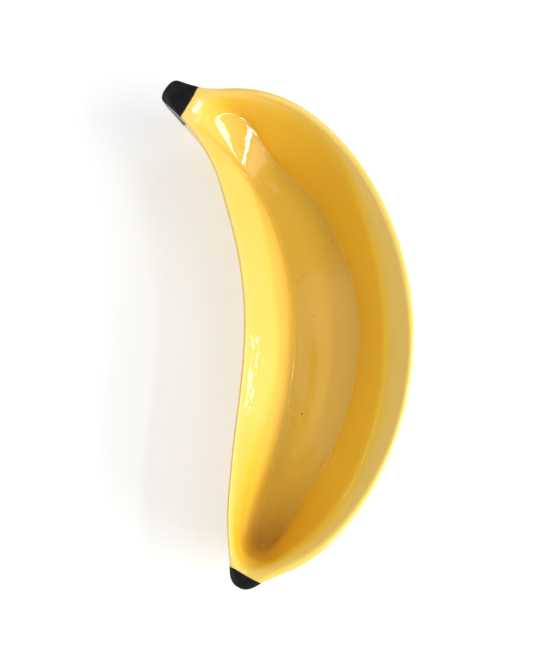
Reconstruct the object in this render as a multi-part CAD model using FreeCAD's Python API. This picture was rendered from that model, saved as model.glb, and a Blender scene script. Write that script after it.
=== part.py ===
import FreeCAD, Part
import math
import os

# A glazed earthenware dish in the shape of half a banana, hollow side up, in mm.
# +Z is up, +Y runs towards the stem and +X towards the convex back of the banana.
# The origin is under the middle of the dish, on the surface that it stands on.
# The clay is one casting.  The other nodes are the glaze layers fired onto it.

os.makedirs("parts", exist_ok=True)

# Heights
RIM_TOP = 45.0
RIM_ROUND = 1.1         # the rim's two edges are this far below its crown
STUB_UNDERSIDE = 28.0
FLOOR_TOP = 8.0
BELLY_UNDERSIDE = 2.0

# Walls and layers
GLAZE = 0.45
FLARE = 0.8             # drop of the upper inner wall for each mm that it goes in
FLANK_ROUND = 1.6       # fullness of the hull's flanks
NOSE_ROUND = 0.75       # how soon the hull's keel starts, going down from the stub
FOOT_RING_SET_IN = 3.0
FOOT_RING_WIDTH = 4.0

# The inner bottom rises in a ramp towards the stem
RAMP_RISE = 21.0
RAMP_FOOT = 50.0        # where the ramp meets the flat floor, along the spine
RAMP_POWER = 1.3

# The spine: distance along it from where the black stem ends, then x and y
SPINE = (
    (-15, -50.1, 127.7), (0, -39.0, 117.7), (20, -23.0, 105.7), (40, -8.6, 91.8), (60, 1.5, 74.6),
    (90, 10.6, 46.1), (120, 13.9, 16.3), (150, 11.4, -13.5), (180, 3.4, -42.4), (210, -9.1, -69.7),
    (240, -25.1, -95.0), (277, -48.5, -123.4), (285, -53.4, -129.7))
STEM_JUNCTION = 0.0
BLOSSOM_JUNCTION = 277.0

# Rings round the dish: start and end along the spine, and the lengths of the rounded ends
RIM_RING = (-15.0, 284.2, 3.5, 6.0)
CHIN_RING = (-14.2, 283.2, 3.5, 6.0)
MOUTH_RING = (2.2, 275.5, 7.0, 8.0)
BEND_RING = (7.0, 269.0, 8.0, 8.0)
FLOOR_RING = (12.0, 260.0, 9.0, 8.0)
BELLY_RING = (32.0, 264.0, 30.0, 12.0)
INNER_ENDS = (80.0, 18.0)   # a ring in the middle of the floor would end this much sooner

# Half widths of the outer rim along the spine
HALF_WIDTH = (
    (-15, 6.3), (-5, 7.7), (5, 11.0), (20, 19.5), (40, 28.4), (70, 36.0), (100, 40.2), (145, 42.9),
    (180, 42.0), (215, 37.3), (240, 30.4), (260, 21.2), (270, 14.0), (277, 8.9), (285, 5.5))

# Width of the hull at the stub's underside, as a share of the rim's
HULL_SHARE = ((-15, 0.84), (15, 0.92), (45, 0.88), (80, 0.82), (180, 0.81), (285, 0.81))

# Widths of the rim on the convex and the concave side
RIM_CONVEX = ((0, 4.4), (60, 4.4), (130, 4.4), (200, 4.2), (240, 5.4), (275, 7.0))
RIM_CONCAVE = ((0, 2.8), (140, 2.6), (275, 2.6))

# Reach to the two sides of the spine: the bend in the inner wall, the foot of that wall, and the
# flat underside
BEND_CONVEX = (
    (7, 6.5), (20, 13.0), (35, 19.0), (50, 25.0), (90, 28.0), (140, 27.8), (200, 27.0), (235, 20.6),
    (268, 6.0))
BEND_CONCAVE = (
    (7, 6.5), (20, 11.0), (35, 14.0), (62, 17.8), (93, 23.6), (140, 25.9), (186, 25.7), (244, 21.0),
    (268, 10.0))
FLOOR_CONVEX = (
    (12, 6.5), (19, 9.4), (26, 10.4), (33, 8.0), (40, 5.2), (48, 4.4), (58, 6.4), (70, 9.5),
    (100, 13.1), (130, 15.2), (165, 13.7), (200, 10.1), (230, 5.2), (259, 1.0))
FLOOR_CONCAVE = (
    (12, 5.0), (20, 7.5), (30, 10.0), (40, 11.7), (54, 13.5), (70, 15.7), (100, 18.4), (140, 20.2),
    (180, 19.2), (215, 16.7), (240, 12.9), (259, 8.0))
BELLY_CONVEX = (
    (0, 7.0), (30, 11.0), (50, 13.0), (70, 15.0), (100, 18.6), (130, 20.7), (165, 19.2), (200, 15.6),
    (230, 10.7), (264, 6.0))
BELLY_CONCAVE = (
    (0, 7.0), (30, 14.0), (50, 18.2), (70, 21.2), (100, 23.9), (140, 25.7), (180, 24.7), (215, 22.2),
    (240, 18.4), (264, 12.8))

# How far the foot of the concave wall is rounded off, along the spine
SOFT_FOOT = ((12, 0.5), (30, 0.8), (110, 0.8), (150, 0.3), (190, 0.1), (260, 0.0))
FOOT_SPREAD = 5.0       # and how much wider the rounding is there

# Columns of the surface net
CORNER_COLUMNS = 6
SIDE_COLUMNS = 32
CORNER_POWER = 2.4
DEGREE = 3


def smooth(stations):
    """Natural cubic spline through (position, value) pairs."""
    xs = [station[0] for station in stations]
    ys = [station[1] for station in stations]
    last = len(xs) - 1
    bend = [0.0] * (last + 1)
    ratio = [0.0] * (last + 1)
    for i in range(1, last):
        before = xs[i] - xs[i - 1]
        after = xs[i + 1] - xs[i]
        turn = 6.0 * ((ys[i + 1] - ys[i]) / after - (ys[i] - ys[i - 1]) / before)
        pivot = 2.0 * (before + after) - before * ratio[i - 1]
        ratio[i] = after / pivot
        bend[i] = (turn - before * bend[i - 1]) / pivot
    for i in range(last - 1, 0, -1):
        bend[i] -= ratio[i] * bend[i + 1]

    def value(x):
        i = 0
        while i < last - 1 and x > xs[i + 1]:
            i += 1
        span = xs[i + 1] - xs[i]
        a = (xs[i + 1] - x) / span
        b = 1.0 - a
        cubic = ((a ** 3 - a) * bend[i] + (b ** 3 - b) * bend[i + 1]) * span * span / 6.0
        return a * ys[i] + b * ys[i + 1] + cubic

    return value


spine_x = smooth([(s, x) for s, x, y in SPINE])
spine_y = smooth([(s, y) for s, x, y in SPINE])
half_width = smooth(HALF_WIDTH)
hull_share = smooth(HULL_SHARE)
rim_convex = smooth(RIM_CONVEX)
rim_concave = smooth(RIM_CONCAVE)
bend_convex = smooth(BEND_CONVEX)
bend_concave = smooth(BEND_CONCAVE)
floor_convex = smooth(FLOOR_CONVEX)
floor_concave = smooth(FLOOR_CONCAVE)
belly_convex = smooth(BELLY_CONVEX)
belly_concave = smooth(BELLY_CONCAVE)
soft_foot = smooth(SOFT_FOOT)


def direction(s):
    """Unit vector along the spine, from the stem to the blossom end."""
    step = 0.01
    dx = spine_x(s + step) - spine_x(s - step)
    dy = spine_y(s + step) - spine_y(s - step)
    return FreeCAD.Vector(dx, dy, 0).normalize()


def place(s, offset, z):
    """Point beside the spine.  A positive offset is towards the convex side."""
    along = direction(s)
    return FreeCAD.Vector(spine_x(s) - along.y * offset, spine_y(s) + along.x * offset, z)


def ramp(s):
    """Height of the inner bottom above the flat floor."""
    share = (RAMP_FOOT - s) / (RAMP_FOOT - FLOOR_RING[0])
    return RAMP_RISE * max(0.0, share) ** RAMP_POWER


def level(s):
    return 0.0


def stations(ring, grow):
    """Columns of one side of a ring: their places along the spine, and their shares of its width."""
    start, end, stem_corner, blossom_corner = ring
    start -= grow
    end += grow
    angles = [math.pi / 2 * (i + 0.5) / CORNER_COLUMNS for i in range(CORNER_COLUMNS)]
    corner = [(1 - math.cos(a) ** (2 / CORNER_POWER), math.sin(a) ** (2 / CORNER_POWER)) for a in angles]
    columns = [(start + stem_corner * along, reach) for along, reach in corner]
    for i in range(SIDE_COLUMNS):
        even = (i + 0.5) / SIDE_COLUMNS
        crowded = (even + (1 - math.cos(math.pi * even)) / 2) / 2
        length = end - start - stem_corner - blossom_corner
        columns.append((start + stem_corner + length * crowded, 1.0))
    return columns + [(end - blossom_corner * along, reach) for along, reach in reversed(corner)]


def outline(ring, convex, concave, z, grow=0.0, share=1.0, rise=level):
    """Closed ring of points: the convex side from stem to blossom, then the concave side back."""
    columns = stations(ring, grow)
    points = []
    for side, ordered in ((1, columns), (-1, reversed(columns))):
        for s, reach in ordered:
            centre = (convex(s) - concave(s)) / 2
            width = (convex(s) + concave(s)) / 2 + grow
            points.append(place(s, centre + side * reach * share * width, z + rise(s)))
    return points


def toward(ring, other, distance, more=None):
    """Each point moved towards its partner, at most half way; more holds extra distances."""
    moved = []
    for a, b, extra in zip(ring, other, more or [0.0] * len(ring)):
        gap = b - a
        moved.append(a + gap * min(0.5, (distance + extra) / max(gap.Length, 1e-6)))
    return moved


def between(ring, other, share, lift):
    """Points a share of the way from one ring to another, then lifted."""
    return [a + (b - a) * share + FreeCAD.Vector(0, 0, lift) for a, b in zip(ring, other)]


def foot_eases():
    """How far each column's crease is rounded off: 0 all along the convex side."""
    columns = stations(FLOOR_RING, 0.0)
    return [0.0] * len(columns) + [soft_foot(s) * reach for s, reach in reversed(columns)]


def rounded_foot(crease, inner, outer, eases):
    """Eases the crease at the foot of the concave wall."""
    return [c + ((a + b) / 2 - c) * ease for c, a, b, ease in zip(crease, inner, outer, eases)]


def floor_ring(share, skin):
    """Ring in the inner bottom: share 1 is the foot of the walls, share 0 the middle."""
    start, end, stem_corner, blossom_corner = FLOOR_RING
    ring = (start + INNER_ENDS[0] * (1 - share), end - INNER_ENDS[1] * (1 - share),
            stem_corner, blossom_corner)
    return outline(ring, floor_convex, floor_concave, FLOOR_TOP - skin, skin, share, ramp)


def flank(depth, skin, inset=0.0):
    """Ring round the hull: depth 0 is level with the stub's underside, depth 1 with the belly's."""
    mix = depth ** FLANK_ROUND
    nose = depth ** NOSE_ROUND
    ring = [a + (b - a) * pace for a, b, pace in zip(CHIN_RING, BELLY_RING, (nose, depth, depth, depth))]

    def reach(belly, s):
        upper = hull_share(s) * half_width(s)
        return upper + (belly(s) - upper) * mix

    z = STUB_UNDERSIDE + (BELLY_UNDERSIDE - STUB_UNDERSIDE) * depth + skin
    return outline(ring, lambda s: reach(belly_convex, s), lambda s: reach(belly_concave, s), z,
                   -skin - inset)


def net(skin):
    """Rows of control points from the inner floor over the rim to the underside, set in by skin."""
    edge = RIM_TOP - RIM_ROUND - skin
    bottom = [floor_ring(share, skin) for share in (0.45, 0.6, 0.75, 0.88)]
    crease = floor_ring(1.0, skin)
    mouth = outline(MOUTH_RING, lambda s: half_width(s) - rim_convex(s),
                    lambda s: half_width(s) - rim_concave(s), edge, skin)
    bend = outline(BEND_RING, bend_convex, bend_concave, edge, skin)
    for lower, upper in zip(bend, mouth):
        lower.z -= FLARE * lower.distanceToPoint(upper)
    rim = outline(RIM_RING, half_width, half_width, edge, -skin)
    chin = flank(0.0, skin)
    turn = flank(1.0, skin)
    low = flank(0.75, skin)
    eases = foot_eases()
    wider = [FOOT_SPREAD * ease for ease in eases]
    crease = rounded_foot(crease, bottom[-2], between(crease, bend, 0.4, 0), eases)
    wall = [toward(crease, bottom[-1], 1.5, wider), crease, toward(crease, bend, 3, wider),
            between(crease, bend, 0.5, 0),
            toward(bend, crease, 5), bend, toward(bend, mouth, 5), between(bend, mouth, 0.5, 0),
            toward(mouth, bend, 2), mouth]
    crown = [between(mouth, rim, 0.35, RIM_ROUND), between(mouth, rim, 0.65, RIM_ROUND)]
    hull = [rim, toward(rim, chin, 2), between(rim, chin, 0.5, 0), toward(chin, rim, 4), chin,
            flank(0.25, skin), flank(0.5, skin), low, toward(turn, low, 4), turn]
    return bottom + wall + crown + hull + [flank(1.0, skin, 4), flank(1.0, skin, 8)]


def dish(skin):
    """Closed solid of the whole dish, with its surface set in by skin."""
    rows = net(skin)
    columns = len(rows[0])
    surface = Part.BSplineSurface()
    poles = [[row[i] for row in rows] for i in range(columns)]
    round_knots = [float(i) for i in range(columns + 1)]
    cross_knots = [float(i) for i in range(len(rows) - 2)]
    cross_mults = [DEGREE + 1] + [1] * (len(cross_knots) - 2) + [DEGREE + 1]
    surface.buildFromPolesMultsKnots(poles, [1] * (columns + 1), cross_mults, round_knots, cross_knots,
                                     True, False, DEGREE, DEGREE)
    faces = [surface.toShape()]
    for knot in (cross_knots[0], cross_knots[-1]):
        faces.append(Part.Face(Part.Wire([surface.vIso(knot).toShape()])))
    shell = Part.makeShell(faces)
    shell.sewShape()
    solid = Part.makeSolid(Part.Shell(shell.Faces))
    if solid.Volume < 0:
        solid.reverse()
    return solid


def closed_wire(ring):
    """Smooth closed wire round a ring of points."""
    curve = Part.BSplineCurve()
    curve.interpolate(ring, PeriodicFlag=True)
    return Part.Wire([curve.toShape()])


def foot_ring():
    """Bare crescent ring that the dish stands on."""
    def edge(inset):
        return closed_wire(outline(BELLY_RING, belly_convex, belly_concave, 0.0, -inset))

    up = FreeCAD.Vector(0, 0, BELLY_UNDERSIDE + 2 * GLAZE)
    disc = Part.Face(edge(FOOT_RING_SET_IN)).extrude(up)
    hollow = Part.Face(edge(FOOT_RING_SET_IN + FOOT_RING_WIDTH)).extrude(up)
    return disc.cut(hollow)


def beyond(s, outward):
    """Block that holds everything past one junction of the spine."""
    size = 2 * RIM_TOP
    block = Part.makeBox(size, size, size, FreeCAD.Vector(0, -size / 2, -size / 4))
    along = direction(s) * outward
    turn = math.degrees(math.atan2(along.y, along.x))
    block.rotate(FreeCAD.Vector(0, 0, 0), FreeCAD.Vector(0, 0, 1), turn)
    block.translate(place(s, 0, 0))
    return block


clay = dish(GLAZE).fuse(foot_ring())
glaze = dish(0).cut(clay)
stem_end = beyond(STEM_JUNCTION, -1)
blossom_end = beyond(BLOSSOM_JUNCTION, 1)
coats = glaze.cut(stem_end.fuse(blossom_end)).Solids
coats.sort(key=lambda solid: solid.Volume)

parts = {
    "clay_body": clay,
    "yellow_glaze": coats[-1],
    "underside_glaze": coats[0],
    "stem_black_glaze": glaze.common(stem_end),
    "tip_black_glaze": glaze.common(blossom_end),
}
for name, shape in parts.items():
    shape.exportStep("parts/" + name + ".step")
    box = shape.BoundBox
    corners = (box.XMin, box.YMin, box.ZMin, box.XMax, box.YMax, box.ZMax)
    print(name, "solids", len(shape.Solids), "valid", shape.isValid(), "volume", round(shape.Volume),
          "box", [round(value, 2) for value in corners])
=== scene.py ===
import math

import bmesh
import bpy
import numpy as np
from mathutils import Matrix, Vector, noise


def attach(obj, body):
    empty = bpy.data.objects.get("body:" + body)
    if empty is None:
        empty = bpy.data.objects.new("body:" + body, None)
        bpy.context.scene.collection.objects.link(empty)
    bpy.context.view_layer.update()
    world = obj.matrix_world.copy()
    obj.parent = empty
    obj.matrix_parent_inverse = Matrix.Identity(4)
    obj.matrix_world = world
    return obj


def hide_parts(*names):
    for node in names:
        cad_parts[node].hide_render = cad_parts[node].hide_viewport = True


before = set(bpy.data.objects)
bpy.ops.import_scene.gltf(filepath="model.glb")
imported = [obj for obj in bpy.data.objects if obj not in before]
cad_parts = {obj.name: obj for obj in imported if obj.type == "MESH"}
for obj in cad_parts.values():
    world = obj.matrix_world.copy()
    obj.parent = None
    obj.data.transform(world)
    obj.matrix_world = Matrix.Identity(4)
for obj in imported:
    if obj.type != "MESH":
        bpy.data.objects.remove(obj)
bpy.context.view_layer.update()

# The looks of a glazed earthenware dish in the shape of half a banana.  Lengths in this file are in
# millimetres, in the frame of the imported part, until MM turns them into Blender's metres.
MM = 0.001

# The same driving dimensions as the part's

# Heights
RIM_TOP = 45.0
RIM_ROUND = 1.1         # the rim's two edges are this far below its crown
STUB_UNDERSIDE = 28.0
FLOOR_TOP = 8.0
BELLY_UNDERSIDE = 2.0

# Walls and layers
GLAZE = 0.45
FLARE = 0.8             # drop of the upper inner wall for each mm that it goes in
FLANK_ROUND = 1.6       # fullness of the hull's flanks
NOSE_ROUND = 0.75       # how soon the hull's keel starts, going down from the stub
FOOT_RING_SET_IN = 3.0
FOOT_RING_WIDTH = 4.0

# The inner bottom rises in a ramp towards the stem
RAMP_RISE = 21.0
RAMP_FOOT = 50.0        # where the ramp meets the flat floor, along the spine
RAMP_POWER = 1.3

# The spine: distance along it from where the black stem ends, then x and y
SPINE = (
    (-15, -50.1, 127.7), (0, -39.0, 117.7), (20, -23.0, 105.7), (40, -8.6, 91.8), (60, 1.5, 74.6),
    (90, 10.6, 46.1), (120, 13.9, 16.3), (150, 11.4, -13.5), (180, 3.4, -42.4), (210, -9.1, -69.7),
    (240, -25.1, -95.0), (277, -48.5, -123.4), (285, -53.4, -129.7))
STEM_JUNCTION = 0.0
BLOSSOM_JUNCTION = 277.0

# Rings round the dish: start and end along the spine, and the lengths of the rounded ends
RIM_RING = (-15.0, 284.2, 3.5, 6.0)
CHIN_RING = (-14.2, 283.2, 3.5, 6.0)
MOUTH_RING = (2.2, 275.5, 7.0, 8.0)
BEND_RING = (7.0, 269.0, 8.0, 8.0)
FLOOR_RING = (12.0, 260.0, 9.0, 8.0)
BELLY_RING = (32.0, 264.0, 30.0, 12.0)
INNER_ENDS = (80.0, 18.0)   # a ring in the middle of the floor would end this much sooner

# Half widths of the outer rim along the spine
HALF_WIDTH = (
    (-15, 6.3), (-5, 7.7), (5, 11.0), (20, 19.5), (40, 28.4), (70, 36.0), (100, 40.2), (145, 42.9),
    (180, 42.0), (215, 37.3), (240, 30.4), (260, 21.2), (270, 14.0), (277, 8.9), (285, 5.5))

# Width of the hull at the stub's underside, as a share of the rim's
HULL_SHARE = ((-15, 0.84), (15, 0.92), (45, 0.88), (80, 0.82), (180, 0.81), (285, 0.81))

# Widths of the rim on the convex and the concave side
RIM_CONVEX = ((0, 4.4), (60, 4.4), (130, 4.4), (200, 4.2), (240, 5.4), (275, 7.0))
RIM_CONCAVE = ((0, 2.8), (140, 2.6), (275, 2.6))

# Reach to the two sides of the spine: the bend in the inner wall, the foot of that wall, and the
# flat underside
BEND_CONVEX = (
    (7, 6.5), (20, 13.0), (35, 19.0), (50, 25.0), (90, 28.0), (140, 27.8), (200, 27.0), (235, 20.6),
    (268, 6.0))
BEND_CONCAVE = (
    (7, 6.5), (20, 11.0), (35, 14.0), (62, 17.8), (93, 23.6), (140, 25.9), (186, 25.7), (244, 21.0),
    (268, 10.0))
FLOOR_CONVEX = (
    (12, 6.5), (19, 9.4), (26, 10.4), (33, 8.0), (40, 5.2), (48, 4.4), (58, 6.4), (70, 9.5),
    (100, 13.1), (130, 15.2), (165, 13.7), (200, 10.1), (230, 5.2), (259, 1.0))
FLOOR_CONCAVE = (
    (12, 5.0), (20, 7.5), (30, 10.0), (40, 11.7), (54, 13.5), (70, 15.7), (100, 18.4), (140, 20.2),
    (180, 19.2), (215, 16.7), (240, 12.9), (259, 8.0))
BELLY_CONVEX = (
    (0, 7.0), (30, 11.0), (50, 13.0), (70, 15.0), (100, 18.6), (130, 20.7), (165, 19.2), (200, 15.6),
    (230, 10.7), (264, 6.0))
BELLY_CONCAVE = (
    (0, 7.0), (30, 14.0), (50, 18.2), (70, 21.2), (100, 23.9), (140, 25.7), (180, 24.7), (215, 22.2),
    (240, 18.4), (264, 12.8))

# How far the foot of the concave wall is rounded off, along the spine
SOFT_FOOT = ((12, 0.5), (30, 0.8), (110, 0.8), (150, 0.3), (190, 0.1), (260, 0.0))

FOOT_SPREAD = 5.0       # and how much wider the rounding is there

# Columns of the surface net
CORNER_COLUMNS = 6
SIDE_COLUMNS = 32
CORNER_POWER = 2.4


# ---------------------------------------------------------------- shape of the dish

def smooth(stations):
    """Natural cubic spline through (position, value) pairs, for arrays."""
    xs, ys = np.array(stations, float).T
    gaps = np.diff(xs)
    slopes = np.diff(ys) / gaps
    system = np.eye(len(xs))
    turns = np.zeros(len(xs))
    for i in range(1, len(xs) - 1):
        system[i, i - 1:i + 2] = gaps[i - 1], 2 * (gaps[i - 1] + gaps[i]), gaps[i]
        turns[i] = 6 * (slopes[i] - slopes[i - 1])
    bend = np.linalg.solve(system, turns)

    def value(x):
        x = np.asarray(x, float)
        i = np.clip(np.searchsorted(xs, x, side="left") - 1, 0, len(xs) - 2)
        a = (xs[i + 1] - x) / gaps[i]
        b = 1 - a
        cubic = ((a ** 3 - a) * bend[i] + (b ** 3 - b) * bend[i + 1]) * gaps[i] ** 2 / 6
        return a * ys[i] + b * ys[i + 1] + cubic

    return value


spine_x = smooth([(s, x) for s, x, y in SPINE])
spine_y = smooth([(s, y) for s, x, y in SPINE])
half_width = smooth(HALF_WIDTH)
hull_share = smooth(HULL_SHARE)
rim_convex = smooth(RIM_CONVEX)
rim_concave = smooth(RIM_CONCAVE)
bend_convex = smooth(BEND_CONVEX)
bend_concave = smooth(BEND_CONCAVE)
floor_convex = smooth(FLOOR_CONVEX)
floor_concave = smooth(FLOOR_CONCAVE)
belly_convex = smooth(BELLY_CONVEX)
belly_concave = smooth(BELLY_CONCAVE)
soft_foot = smooth(SOFT_FOOT)


def direction(s):
    """Unit vector along the spine, from the stem to the blossom end."""
    step = 0.01
    along = np.stack([spine_x(s + step) - spine_x(s - step), spine_y(s + step) - spine_y(s - step)], -1)
    return along / np.linalg.norm(along, axis=-1, keepdims=True)


def place(s, offset, z):
    """Points beside the spine.  A positive offset is towards the convex side."""
    along = direction(s)
    x = spine_x(s) - along[..., 1] * offset
    y = spine_y(s) + along[..., 0] * offset
    return np.stack([x, y, np.broadcast_to(z, x.shape)], -1)


def ramp(s):
    """Height of the inner bottom above the flat floor."""
    share = (RAMP_FOOT - s) / (RAMP_FOOT - FLOOR_RING[0])
    return RAMP_RISE * np.maximum(0.0, share) ** RAMP_POWER


def level(s):
    return 0.0 * s


def stations(ring, grow):
    """Columns of one side of a ring: their places along the spine, and their shares of its width."""
    start, end, stem_corner, blossom_corner = ring
    start = start - grow
    end = end + grow
    angles = math.pi / 2 * (np.arange(CORNER_COLUMNS) + 0.5) / CORNER_COLUMNS
    into = 1 - np.cos(angles) ** (2 / CORNER_POWER)
    out = np.sin(angles) ** (2 / CORNER_POWER)
    even = (np.arange(SIDE_COLUMNS) + 0.5) / SIDE_COLUMNS
    crowded = (even + (1 - np.cos(math.pi * even)) / 2) / 2
    length = end - start - stem_corner - blossom_corner
    s = np.concatenate([start + stem_corner * into, start + stem_corner + length * crowded,
                        end - blossom_corner * into[::-1]])
    return s, np.concatenate([out, np.ones(SIDE_COLUMNS), out[::-1]])


def outline(ring, convex, concave, z, grow=0.0, share=1.0, rise=level):
    """Closed ring of points: the convex side from stem to blossom, then the concave side back."""
    s, reach = stations(ring, grow)
    centre = (convex(s) - concave(s)) / 2
    width = ((convex(s) + concave(s)) / 2 + grow) * reach * share
    there = place(s, centre + width, z + rise(s))
    back = place(s, centre - width, z + rise(s))[::-1]
    return np.concatenate([there, back])


def toward(ring, other, distance):
    """Each point moved towards its partner, at most half way."""
    gap = other - ring
    length = np.linalg.norm(gap, axis=1, keepdims=True)
    return ring + gap * np.minimum(0.5, distance / np.maximum(length, 1e-6))


def between(ring, other, share, lift):
    """Points a share of the way from one ring to another, then lifted."""
    return ring + (other - ring) * share + np.array((0, 0, lift))


def foot_ease():
    """How far each column's crease is rounded off: 0 all along the convex side."""
    s, reach = stations(FLOOR_RING, 0.0)
    return np.concatenate([np.zeros(len(s)), soft_foot(s[::-1]) * reach[::-1]])[:, None]


def rounded_foot(crease, inner, outer, ease):
    """Eases the crease at the foot of the concave wall."""
    return crease + ((inner + outer) / 2 - crease) * ease


def floor_ring(share, skin):
    """Ring in the inner bottom: share 1 is the foot of the walls, share 0 the middle."""
    start, end, stem_corner, blossom_corner = FLOOR_RING
    ring = (start + INNER_ENDS[0] * (1 - share), end - INNER_ENDS[1] * (1 - share),
            stem_corner, blossom_corner)
    return outline(ring, floor_convex, floor_concave, FLOOR_TOP - skin, skin, share, ramp)


def flank(depth, skin, inset=0.0):
    """Ring round the hull: depth 0 is level with the stub's underside, depth 1 with the belly's."""
    mix = depth ** FLANK_ROUND
    nose = depth ** NOSE_ROUND
    ring = [a + (b - a) * pace for a, b, pace in zip(CHIN_RING, BELLY_RING, (nose, depth, depth, depth))]

    def reach(belly, s):
        upper = hull_share(s) * half_width(s)
        return upper + (belly(s) - upper) * mix

    z = STUB_UNDERSIDE + (BELLY_UNDERSIDE - STUB_UNDERSIDE) * depth + skin
    return outline(ring, lambda s: reach(belly_convex, s), lambda s: reach(belly_concave, s), z,
                   -skin - inset)


def net(skin):
    """Rows of control points from the middle of the floor over the rim to the foot ring."""
    edge = RIM_TOP - RIM_ROUND - skin
    bottom = [floor_ring(share, skin) for share in (0.0, 0.25, 0.45, 0.6, 0.75, 0.88)]
    crease = floor_ring(1.0, skin)
    mouth = outline(MOUTH_RING, lambda s: half_width(s) - rim_convex(s),
                    lambda s: half_width(s) - rim_concave(s), edge, skin)
    bend = outline(BEND_RING, bend_convex, bend_concave, edge, skin)
    bend[:, 2] -= FLARE * np.linalg.norm(mouth - bend, axis=1)
    rim = outline(RIM_RING, half_width, half_width, edge, -skin)
    chin = flank(0.0, skin)
    turn = flank(1.0, skin)
    low = flank(0.75, skin)
    ease = foot_ease()
    crease = rounded_foot(crease, bottom[-2], between(crease, bend, 0.4, 0), ease)
    wall = [toward(crease, bottom[-1], 1.5 + FOOT_SPREAD * ease), crease,
            toward(crease, bend, 3 + FOOT_SPREAD * ease), between(crease, bend, 0.5, 0),
            toward(bend, crease, 5), bend, toward(bend, mouth, 5), between(bend, mouth, 0.5, 0),
            toward(mouth, bend, 2), mouth]
    crown = [between(mouth, rim, 0.35, RIM_ROUND), between(mouth, rim, 0.65, RIM_ROUND)]
    hull = [rim, toward(rim, chin, 2), between(rim, chin, 0.5, 0), toward(chin, rim, 4), chin,
            flank(0.25, skin), flank(0.5, skin), low, toward(turn, low, 4), turn]
    under = [flank(1.0, skin, 1.5 - skin), flank(1.0, skin, 2.9 - skin)]
    return np.array(bottom + wall + crown + hull + under)


def cubic_weights(count, samples, closed):
    """Matrix that turns count control points into evenly spaced points of their cubic B-spline."""
    if closed:
        t = np.arange(count * samples) / samples
        knots = np.arange(-3, count + 4, dtype=float)
    else:
        spans = count - 3
        t = np.arange(spans * samples + 1) / samples
        knots = np.concatenate([[0] * 3, np.arange(spans + 1), [spans] * 3]).astype(float)
    size = len(knots) - 1
    basis = np.zeros((len(t), size))
    for i in range(size):
        basis[:, i] = (knots[i] <= t) & (t < knots[i + 1])
    if not closed:
        basis[-1, spans + 2] = 1
    for degree in (1, 2, 3):
        higher = np.zeros((len(t), size - degree))
        for i in range(size - degree):
            left = knots[i + degree] - knots[i]
            right = knots[i + degree + 1] - knots[i + 1]
            if left > 0:
                higher[:, i] += (t - knots[i]) / left * basis[:, i]
            if right > 0:
                higher[:, i] += (knots[i + degree + 1] - t) / right * basis[:, i + 1]
        basis = higher
    if closed:
        wrapped = np.zeros((len(t), count))
        for i in range(basis.shape[1]):
            wrapped[:, i % count] += basis[:, i]
        return wrapped
    return basis


def skin_points(skin, round_samples, cross_samples):
    """Grid of points on the glazed skin: rows from the floor to the foot ring, columns round."""
    rows = net(skin)
    across = cubic_weights(len(rows), cross_samples, closed=False)
    around = cubic_weights(rows.shape[1], round_samples, closed=True)
    return np.einsum("vr,rcx,uc->vux", across, rows, around, optimize=True)


# ---------------------------------------------------------------- glaze

# Control rows of the net
CREASE_ROW = 7
BEND_ROW = 11
MOUTH_ROW = 15
RIM_ROW = 18
CHIN_ROW = 22
TURN_ROW = 27
ROW_COUNT = 30

# Painted light and shade in the glaze's colour at the control rows, which the B-spline spreads smoothly
# over the skin:
# 1 is painted light, pale, and -1 is painted shade, deep. The concave wall, the rim and the stem end are
# painted pale where the window's light falls on them; the foot of the convex wall and the blossom end
# are painted deep where shade falls
PAINTED_LIGHT_CONVEX = {
    0: -0.3, CREASE_ROW - 1: -0.45, CREASE_ROW: -0.8, CREASE_ROW + 1: -0.7, CREASE_ROW + 3: -0.6,
    BEND_ROW: -0.1, BEND_ROW + 2: 0.55, MOUTH_ROW: 0.7, MOUTH_ROW + 1: 0.7, RIM_ROW: 0.5,
    RIM_ROW + 2: 0.3, CHIN_ROW: 0.1, TURN_ROW - 1: 0.0, TURN_ROW: 0.3, ROW_COUNT - 1: 0.3}
PAINTED_LIGHT_CONCAVE = {
    0: -0.2, CREASE_ROW - 1: 0.1, CREASE_ROW: 0.4, CREASE_ROW + 2: 0.5, BEND_ROW: 0.45,
    MOUTH_ROW - 1: 0.4, MOUTH_ROW: 0.8, RIM_ROW: 0.9, RIM_ROW + 2: 0.3,
    CHIN_ROW: 0.1, TURN_ROW - 1: 0.0, TURN_ROW: 0.3, ROW_COUNT - 1: 0.3}
# painted light on the inner wall at the stem end
PAINTED_LIGHT_STEM = {
    0: 0.1, CREASE_ROW - 1: 0.2, CREASE_ROW: 0.5, BEND_ROW: 0.3, MOUTH_ROW: 0.0, ROW_COUNT - 1: 0.0}
# painted shade at the blossom end
PAINTED_SHADE_BLOSSOM = {
    0: 0.3, CREASE_ROW: 0.6, BEND_ROW: 1.1, BEND_ROW + 2: 1.3, MOUTH_ROW - 1: 0.7, MOUTH_ROW: 0.1,
    ROW_COUNT - 1: 0.0}

# Pinholes in the glaze of the floor: place, then radius
PINHOLES = ((21.2, 41.1, 8.0, 0.4), (5.1, 4.2, 8.0, 0.35), (-8.7, -45.3, 8.0, 0.5))
PINHOLE_CORE = 0.55                        # share of the radius that is fully dark

ROUND_SAMPLES = 5
CROSS_SAMPLES = 8
INNER_SKIN = GLAZE - 0.03
WAVES = ((38.0, 0.10), (15.0, 0.035))      # length and height of the slow waves in the glaze
BEAD_LIFT = 0.10                           # the black glaze stands this far above the yellow
BEAD_WIDTH = 0.9
STILL_ROWS = 2                             # sample rows in the middle of the floor without waves
RISING_ROWS = 6                            # and the rows over which the waves come up


def row_field(values, across):
    """Value at each sample row, from the values at a few control rows."""
    return across @ np.interp(np.arange(ROW_COUNT), list(values), list(values.values()))


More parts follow.
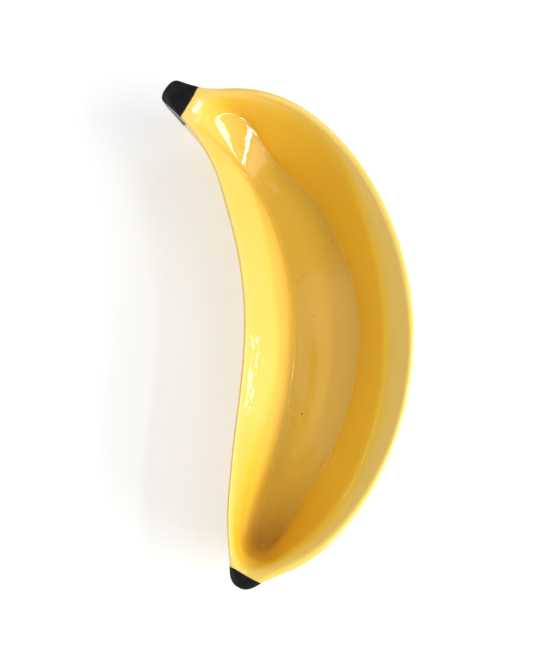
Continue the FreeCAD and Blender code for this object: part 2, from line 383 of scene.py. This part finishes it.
def painted_light_and_shade(across, columns):
    """Painted light (above 0) and painted shade (below 0) for the glaze's colour, over the grid of skin
    points.
    """
    turn = 2 * math.pi * np.arange(columns) / columns
    on_convex = np.clip(0.5 + 1.5 * np.sin(turn), 0, 1)
    at_blossom = np.clip(-2 * np.cos(turn) - 1, 0, 1)
    tone = np.outer(row_field(PAINTED_LIGHT_CONVEX, across), on_convex)
    tone += np.outer(row_field(PAINTED_LIGHT_CONCAVE, across), 1 - on_convex)
    at_stem = np.clip(2 * np.cos(turn) - 1, 0, 1)
    tone += np.outer(row_field(PAINTED_LIGHT_STEM, across), at_stem)
    return tone - np.outer(row_field(PAINTED_SHADE_BLOSSOM, across), at_blossom)


def grid_normals(grid):
    """Outward unit normals of a grid that closes on itself across its columns."""
    along = np.roll(grid, -1, axis=1) - np.roll(grid, 1, axis=1)
    down = np.gradient(grid, axis=0)
    normals = np.cross(along, down)
    length = np.linalg.norm(normals, axis=-1, keepdims=True)
    return normals / np.maximum(length, 1e-9)


def glazed_skin():
    """The outer grid, the matching inner grid of the coat, and the painted light and shade for the
    glaze's colour.
    """
    across = cubic_weights(ROW_COUNT, CROSS_SAMPLES, closed=False)
    outer = skin_points(0.0, ROUND_SAMPLES, CROSS_SAMPLES)
    inner = skin_points(INNER_SKIN, ROUND_SAMPLES, CROSS_SAMPLES)
    normals = grid_normals(outer)
    lift = np.zeros(outer.shape[:2])
    for v in range(outer.shape[0]):
        for u in range(outer.shape[1]):
            spot = Vector(outer[v, u])
            for length, height in WAVES:
                lift[v, u] += height * noise.noise(spot / length)
    strength = np.clip((np.arange(outer.shape[0]) - STILL_ROWS) / RISING_ROWS, 0, 1)[:, None]
    move = normals * (lift * strength)[..., None]
    return outer + move, inner + move, painted_light_and_shade(across, outer.shape[1])


def junction(s, outward, wobble_seed):
    """Signed distance past one end's painted edge, as a function of a point."""
    origin = Vector(place(np.array(s), 0.0, 0.0))
    along = Vector((*direction(np.array(s)), 0.0)) * outward

    def past(point):
        wobble = 0.35 * noise.noise(Vector(point) / 5.0 + Vector((wobble_seed, 0, 0)))
        wobble += 0.12 * noise.noise(Vector(point) / 1.7 + Vector((0, wobble_seed, 0)))
        flat = Vector((point[0], point[1], 0.0))
        return (flat - origin).dot(along) + wobble

    return past


def new_object(name, bm):
    mesh = bpy.data.meshes.new(name)
    bm.to_mesh(mesh)
    bm.free()
    piece = bpy.data.objects.new(name, mesh)
    bpy.context.scene.collection.objects.link(piece)
    for polygon in mesh.polygons:
        polygon.use_smooth = True
    return piece


def skin_bmesh():
    """Open mesh of the outer skin, each vertex holding its place on the coat's inner side."""
    outer, inner, tone = glazed_skin()
    rows, columns = outer.shape[:2]
    bm = bmesh.new()
    home = bm.verts.layers.float_vector.new("home")
    inside = bm.verts.layers.float_vector.new("inside")
    # the tone layer carries the painted light and shade for the glaze's colour
    painted_light_and_shade_layer = bm.verts.layers.float.new("tone")
    verts = []
    for v in range(rows):
        for u in range(columns):
            vert = bm.verts.new(outer[v, u])
            vert[home] = vert.co
            vert[inside] = inner[v, u]
            vert[painted_light_and_shade_layer] = tone[v, u]
            verts.append(vert)
    for v in range(rows - 1):
        for u in range(columns):
            after = (u + 1) % columns
            bm.faces.new((verts[v * columns + u], verts[v * columns + after],
                          verts[(v + 1) * columns + after], verts[(v + 1) * columns + u]))
    bmesh.ops.remove_doubles(bm, verts=verts[:columns], dist=0.002)
    bmesh.ops.dissolve_degenerate(bm, edges=bm.edges, dist=1e-4)
    return bm, home, inside


def cut_along(bm, home, past):
    """Cuts new edges where past is zero."""
    for vert in bm.verts:
        vert.co = (past(vert[home]), vert[home].y, vert[home].z)
    bmesh.ops.bisect_plane(bm, geom=bm.verts[:] + bm.edges[:] + bm.faces[:], dist=1e-4,
                           plane_co=(0, 0, 0), plane_no=(1, 0, 0))
    for vert in bm.verts:
        vert.co = vert[home]


def keep_only(bm, home, wanted):
    """Deletes the faces whose middle isn't wanted."""
    gone = []
    for face in bm.faces:
        middle = sum((vert[home] for vert in face.verts), Vector()) / len(face.verts)
        if not wanted(middle):
            gone.append(face)
    bmesh.ops.delete(bm, geom=gone, context="FACES")


def thicken(bm, inside):
    """Closes the open skin with its inner side and an edge wall."""
    outer_faces = bm.faces[:]
    # the tone layer, painted light and shade, is copied to the inner side
    tone = bm.verts.layers.float["tone"]
    border = [edge for edge in bm.edges if edge.is_boundary]
    under = {}
    for vert in bm.verts[:]:
        twin = bm.verts.new(vert[inside])
        twin[tone] = vert[tone]
        under[vert] = twin
    for face in outer_faces:
        bm.faces.new([under[vert] for vert in reversed(face.verts)])
    for edge in border:
        loop = edge.link_loops[0]
        a = loop.vert
        b = loop.link_loop_next.vert
        bm.faces.new((b, a, under[a], under[b]))


def to_metres(bm):
    for vert in bm.verts:
        vert.co *= MM


def glaze_pieces():
    """The yellow coat and the two black ends, cut from one skin."""
    past_stem = junction(STEM_JUNCTION, -1, 3.0)
    past_tip = junction(BLOSSOM_JUNCTION, 1, 8.0)
    bm, home, inside = skin_bmesh()
    cut_along(bm, home, past_stem)
    cut_along(bm, home, past_tip)
    pieces = []
    for name, wanted, edge in (
            ("yellow_glaze_coat", lambda p: past_stem(p) < 0 and past_tip(p) < 0, None),
            ("stem_black_coat", lambda p: past_stem(p) > 0, past_stem),
            ("tip_black_coat", lambda p: past_tip(p) > 0, past_tip)):
        part = bm.copy()
        layers = part.verts.layers.float_vector
        own_home = layers["home"]
        keep_only(part, own_home, wanted)
        part.normal_update()
        if edge:
            for vert in part.verts:
                rise = min(1.0, max(0.0, edge(vert[own_home]) / BEAD_WIDTH))
                vert.co += vert.normal * BEAD_LIFT * math.sqrt(rise * (2 - rise))
        thicken(part, layers["inside"])
        bmesh.ops.recalc_face_normals(part, faces=part.faces)
        to_metres(part)
        pieces.append(new_object(name, part))
    bm.free()
    return pieces


# ---------------------------------------------------------------- materials

def node_material(name):
    material = bpy.data.materials.new(name)
    material.use_nodes = True
    tree = material.node_tree
    tree.nodes.clear()
    shader = tree.nodes.new("ShaderNodeBsdfPrincipled")
    output = tree.nodes.new("ShaderNodeOutputMaterial")
    tree.links.new(shader.outputs[0], output.inputs[0])
    return material, tree, shader


def add(tree, kind, settings=None, **inputs):
    """A node with its settings and its inputs, each a value or another node's output."""
    node = tree.nodes.new(kind)
    for name, value in (settings or {}).items():
        setattr(node, name, value)
    for name, value in inputs.items():
        key = int(name[1:]) if name[0] == "i" and name[1:].isdigit() else name.replace("_", " ")
        if isinstance(value, bpy.types.NodeSocket):
            tree.links.new(value, node.inputs[key])
        else:
            node.inputs[key].default_value = value
    return node


def position(tree):
    """Object coordinates in metres."""
    return add(tree, "ShaderNodeTexCoord").outputs["Object"]


def noise_at(tree, scale, detail=2.0, roughness=0.5):
    return add(tree, "ShaderNodeTexNoise", Vector=position(tree), Scale=scale, Detail=detail,
               Roughness=roughness).outputs["Fac"]


def spread(tree, value, low, high, to_low=0.0, to_high=1.0):
    return add(tree, "ShaderNodeMapRange", {"clamp": True}, Value=value, From_Min=low, From_Max=high,
               To_Min=to_low, To_Max=to_high).outputs[0]


def mix_colour(tree, share, a, b):
    return add(tree, "ShaderNodeMix", {"data_type": "RGBA"}, i0=share, i6=a, i7=b).outputs[2]


def multiply(tree, a, b):
    return add(tree, "ShaderNodeMath", {"operation": "MULTIPLY"}, i0=a, i1=b).outputs[0]


def rgba(red, green, blue):
    return (red, green, blue, 1.0)


def flaw_share(tree):
    """1 inside the small dark pinholes of the glaze, 0 elsewhere."""
    share = 0.0
    for x, y, z, radius in PINHOLES:
        apart = add(tree, "ShaderNodeVectorMath", {"operation": "DISTANCE"}, i0=position(tree),
                    i1=(x * MM, y * MM, z * MM)).outputs["Value"]
        inside = spread(tree, apart, radius * MM, PINHOLE_CORE * radius * MM)
        share = add(tree, "ShaderNodeMath", {"operation": "MAXIMUM"}, i0=inside, i1=share).outputs[0]
    return share


def yellow_material():
    material, tree, shader = node_material("yellow_glaze")
    body = rgba(0.92, 0.61, 0.06)
    # deep glaze colour, for random deeper patches and also as painted shade
    deep_glaze_and_painted_shade = rgba(0.79, 0.44, 0.018)
    # pale colour, used as painted light on the lit walls, the rim and the stem end
    painted_light_glaze = rgba(0.97, 0.67, 0.17)
    # tone is painted light and shade: below 0 mixes in the deep colour as painted shade, above 0 the
    # pale colour as painted light
    tone = add(tree, "ShaderNodeAttribute", {"attribute_name": "tone"}).outputs["Fac"]
    patchy = spread(tree, noise_at(tree, 30.0, 3.0), 0.35, 0.7, 0.0, 0.2)
    colour = mix_colour(tree, patchy, body, deep_glaze_and_painted_shade)
    colour = mix_colour(tree, spread(tree, tone, 0.0, -1.0), colour, deep_glaze_and_painted_shade)
    colour = mix_colour(tree, spread(tree, tone, 0.0, 1.0), colour, painted_light_glaze)
    colour = mix_colour(tree, flaw_share(tree), colour, rgba(0.16, 0.09, 0.03))
    tree.links.new(colour, shader.inputs["Base Color"])
    shader.inputs["Roughness"].default_value = 0.5
    shader.inputs["Specular IOR Level"].default_value = 0.2
    shader.inputs["Coat Weight"].default_value = 1.0
    shader.inputs["Coat Roughness"].default_value = 0.015
    shader.inputs["Coat IOR"].default_value = 1.55
    ripple = add(tree, "ShaderNodeBump", Strength=0.09, Distance=0.0004,
                 Height=noise_at(tree, 260.0, 3.0))
    tree.links.new(ripple.outputs[0], shader.inputs["Coat Normal"])
    return material


def black_material():
    material, tree, shader = node_material("black_glaze")
    dark = rgba(0.004, 0.004, 0.004)
    soft = rgba(0.012, 0.011, 0.010)
    streaks = spread(tree, noise_at(tree, 180.0, 3.0), 0.4, 0.7)
    tree.links.new(mix_colour(tree, streaks, dark, soft), shader.inputs["Base Color"])
    shader.inputs["Roughness"].default_value = 0.3
    shader.inputs["Specular IOR Level"].default_value = 0.3
    ripple = add(tree, "ShaderNodeBump", Strength=0.1, Distance=0.0005,
                 Height=noise_at(tree, 420.0, 3.0))
    tree.links.new(ripple.outputs[0], shader.inputs["Normal"])
    return material


def clay_material():
    material, tree, shader = node_material("bisque_clay")
    speckle = spread(tree, noise_at(tree, 1400.0, 4.0, 0.7), 0.55, 0.72)
    tone = mix_colour(tree, noise_at(tree, 60.0, 3.0), rgba(0.72, 0.63, 0.50), rgba(0.60, 0.50, 0.37))
    tree.links.new(mix_colour(tree, multiply(tree, speckle, 0.5), tone, rgba(0.35, 0.26, 0.18)),
                   shader.inputs["Base Color"])
    shader.inputs["Roughness"].default_value = 0.85
    grit = add(tree, "ShaderNodeBump", Strength=0.4, Distance=0.0002, Height=noise_at(tree, 1800.0, 3.0))
    tree.links.new(grit.outputs[0], shader.inputs["Normal"])
    return material


def floor_material():
    material, tree, shader = node_material("studio_floor")
    tone = mix_colour(tree, noise_at(tree, 3.0), rgba(0.84, 0.84, 0.84), rgba(0.82, 0.82, 0.825))
    tree.links.new(tone, shader.inputs["Base Color"])
    shader.inputs["Roughness"].default_value = 0.7
    shader.inputs["Emission Color"].default_value = rgba(1.0, 1.0, 1.0)
    shader.inputs["Emission Strength"].default_value = 0.34
    return material


# ---------------------------------------------------------------- studio

CAMERA_BACK = (0.026334, -0.162435, 0.986368)
CAMERA_PLACE = (7.2, -168.9, 1030.1)
PHOTO_TURN = math.radians(-9.1)
FOCAL = 108.108


def aimed(back, up):
    """Rotation whose local Z is back and whose local Y is as near up as it can be."""
    z = Vector(back).normalized()
    x = Vector(up).cross(z).normalized()
    y = z.cross(x)
    return Matrix((x, y, z)).transposed()


def camera():
    data = bpy.data.cameras.new("camera")
    data.sensor_fit = "VERTICAL"
    data.sensor_height = 36.0
    data.lens = FOCAL
    data.clip_start = 0.01
    seen = bpy.data.objects.new("camera", data)
    up = Vector((-math.sin(PHOTO_TURN), math.cos(PHOTO_TURN), 0))
    seen.matrix_world = Matrix.Translation(Vector(CAMERA_PLACE) * MM) @ aimed(CAMERA_BACK, up).to_4x4()
    bpy.context.scene.collection.objects.link(seen)
    bpy.context.scene.camera = seen


def lamp(name, frame_matrix, size, radiance):
    """Rectangular light that gives off the radiance evenly, facing its own -Z."""
    data = bpy.data.lights.new(name, "AREA")
    data.shape = "RECTANGLE"
    data.size, data.size_y = size
    data.energy = radiance * math.pi * size[0] * size[1]
    light = bpy.data.objects.new(name, data)
    light.matrix_world = frame_matrix
    bpy.context.scene.collection.objects.link(light)


def lamp_from(name, azimuth, elevation, distance, size, radiance):
    """Lamp aimed at the dish; azimuth is measured in the photograph's own plane, from its right."""
    turn = math.radians(azimuth) + PHOTO_TURN
    rise = math.radians(elevation)
    towards = Vector((math.cos(turn) * math.cos(rise), math.sin(turn) * math.cos(rise), math.sin(rise)))
    lamp(name, Matrix.Translation(towards * distance) @ aimed(towards, (0, 0, 1)).to_4x4(), size,
         radiance)


def studio():
    mesh = bpy.data.meshes.new("studio_floor")
    reach = 4.0
    mesh.from_pydata([(-reach, -reach, 0), (reach, -reach, 0), (reach, reach, 0), (-reach, reach, 0)],
                     [], [(0, 1, 2, 3)])
    ground = bpy.data.objects.new("studio_floor", mesh)
    bpy.context.scene.collection.objects.link(ground)
    mesh.materials.append(floor_material())
    world = bpy.data.worlds.new("soft_room")
    bpy.context.scene.world = world
    world.use_nodes = True
    tree = world.node_tree
    height = add(tree, "ShaderNodeSeparateXYZ", i0=add(tree, "ShaderNodeTexCoord").outputs["Generated"])
    dimming = spread(tree, height.outputs[2], 0.78, 0.95, 0.5, 0.2)
    background = tree.nodes["Background"]
    background.inputs[0].default_value = (0.96, 0.98, 1.0, 1.0)
    tree.links.new(dimming, background.inputs[1])
    lamp_from("wide_window", -20, 27, 1.7, (1.7, 0.42), 11.5)
    lamp_from("tall_softbox", -40, 58, 1.7, (0.9, 0.55), 1.2)
    lamp_from("foot_line", -11, 44, 1.7, (0.9, 0.06), 22.0)
    lamp_from("stem_fill", 75, 42, 1.7, (0.6, 0.4), 3.0)
    lamp_from("left_bounce", 178, 52, 1.8, (1.5, 0.5), 2.3)
    lamp("ceiling_panel", Matrix.Translation((0.043, 0.191, 1.5)), (0.135, 0.242), 0.6)
    bpy.context.scene.view_settings.view_transform = "Standard"


# ---------------------------------------------------------------- assembly

def finish_piece(piece, material, node):
    piece.data.materials.append(material)
    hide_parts(node)
    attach(piece, "root")


def repaint(node, material):
    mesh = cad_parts[node].data
    mesh.materials.clear()
    mesh.materials.append(material)


yellow = yellow_material()
black = black_material()
coat, stem, tip = glaze_pieces()
finish_piece(coat, yellow, "yellow_glaze")
finish_piece(stem, black, "stem_black_glaze")
finish_piece(tip, black, "tip_black_glaze")
repaint("underside_glaze", yellow)
repaint("clay_body", clay_material())
studio()
camera()
